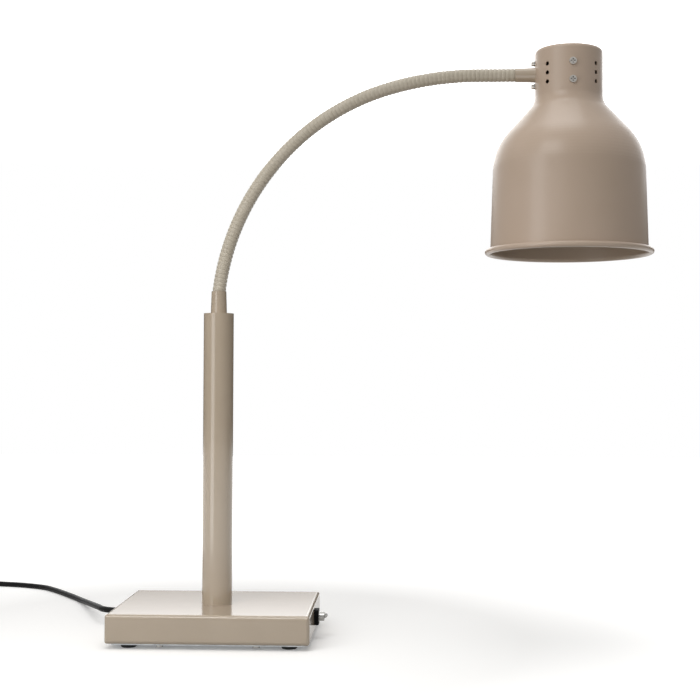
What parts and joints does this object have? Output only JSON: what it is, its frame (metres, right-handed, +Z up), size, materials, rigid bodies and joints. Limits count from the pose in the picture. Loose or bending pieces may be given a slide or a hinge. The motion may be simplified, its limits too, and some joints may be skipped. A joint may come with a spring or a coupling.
{
  "type": "food warming lamp",
  "caption": "Table-standing food warming lamp: flat weighted base with toggle switch, straight column, ribbed gooseneck arm and bell shade over a reflector bulb.",
  "frame": {"origin": "on the column's axis, at the plane the rubber feet stand on", "axes": "+X from the column towards the shade, +Y to the rear, +Z up"},
  "size_m": [0.964, 0.4612, 0.6613],
  "materials": {
    "paint": "satin powder coat",
    "shade_paint": "satin powder coat on spun aluminium",
    "zinc_steel": "zinc plated",
    "bright_steel": "bright plated",
    "rubber": "matte",
    "cord_sheath": "satin",
    "lead_sheath": "matte",
    "black_plastic": "fine satin",
    "block_plastic": "matte",
    "brass": "bare",
    "ceramic": "glazed",
    "bulb_glass": "clear"
  },
  "bodies": {
    "base": {"neck_flex_low": "paint", "base_cover": "paint", "bottom_plate": "zinc_steel", "ballast": "zinc_steel", "ballast_screws": "bright_steel", "cover_screws": "bright_steel", "feet": "rubber", "foot_screws": "bright_steel", "stiffener": "zinc_steel", "cord_gland": "rubber", "cord_tail": "cord_sheath", "cord_clamp": "block_plastic", "clamp_screws": "bright_steel", "terminal_block": "block_plastic", "earth_lug": "brass", "earth_screw": "bright_steel", "switch_wires": "lead_sheath", "switch_surround": "black_plastic", "switch_body": "black_plastic", "switch_terminals": "brass", "switch_bushing": "bright_steel", "switch_nut": "bright_steel", "column_tube": "paint", "column_foot_plug": "zinc_steel", "column_stud": "zinc_steel", "column_stud_nut": "zinc_steel", "column_top_plug": "paint", "column_lead": "lead_sheath", "lower_ferrule": "paint", "lower_ferrule_nut": "zinc_steel", "neck_root": "paint", "cord": "cord_sheath", "cord_coil": "cord_sheath", "cord_end": "cord_sheath", "coil_tie": "black_plastic", "plug": "black_plastic"},
    "arm_low": {"neck_lower": "paint", "neck_flex_side": "paint"},
    "arm_middle": {"neck_middle": "paint", "neck_flex_mid": "paint"},
    "arm_upper": {"neck_upper": "paint", "neck_flex_top": "paint"},
    "head": {"neck_end": "paint", "upper_ferrule": "paint", "upper_ferrule_nut": "zinc_steel", "shade": "shade_paint", "arm_saddle": "zinc_steel", "side_screws": "bright_steel", "side_washers": "bright_steel", "holder_bracket": "zinc_steel", "front_screws": "bright_steel", "front_nuts": "zinc_steel", "lampholder": "ceramic", "holder_screws": "bright_steel", "holder_shell": "brass", "holder_contact": "brass", "head_lead": "lead_sheath", "bulb_cap": "brass", "bulb_glass": "bulb_glass"},
    "lever": {"switch_lever": "bright_steel"}
  },
  "joints": [
    {"name": "arm_low_bend", "type": "hinge", "parent": "base", "child": "arm_low", "pos_m": [0.00616, 0, 0.42277], "axis": [0, 1, 0], "range_deg": [-20, 15], "deforming": ["neck_flex_low"]},
    {"name": "arm_side_bend", "type": "hinge", "parent": "arm_low", "child": "arm_middle", "pos_m": [0.02575, 0, 0.47723], "axis": [0.9001, 0, -0.4357], "range_deg": [-20, 20], "deforming": ["neck_flex_side"]},
    {"name": "arm_mid_bend", "type": "hinge", "parent": "arm_middle", "child": "arm_upper", "pos_m": [0.11572, 0, 0.58266], "axis": [0, 1, 0], "range_deg": [-25, 25], "deforming": ["neck_flex_mid"]},
    {"name": "arm_top_bend", "type": "hinge", "parent": "arm_upper", "child": "head", "pos_m": [0.27492, 0, 0.63286], "axis": [0, 1, 0], "range_deg": [-30, 30], "deforming": ["neck_flex_top"]},
    {"name": "switch_lever_tilt", "type": "hinge", "parent": "base", "child": "lever", "pos_m": [0.117, 0, 0.0245], "axis": [0, 1, 0], "range_deg": [0, 28]}
  ]
}
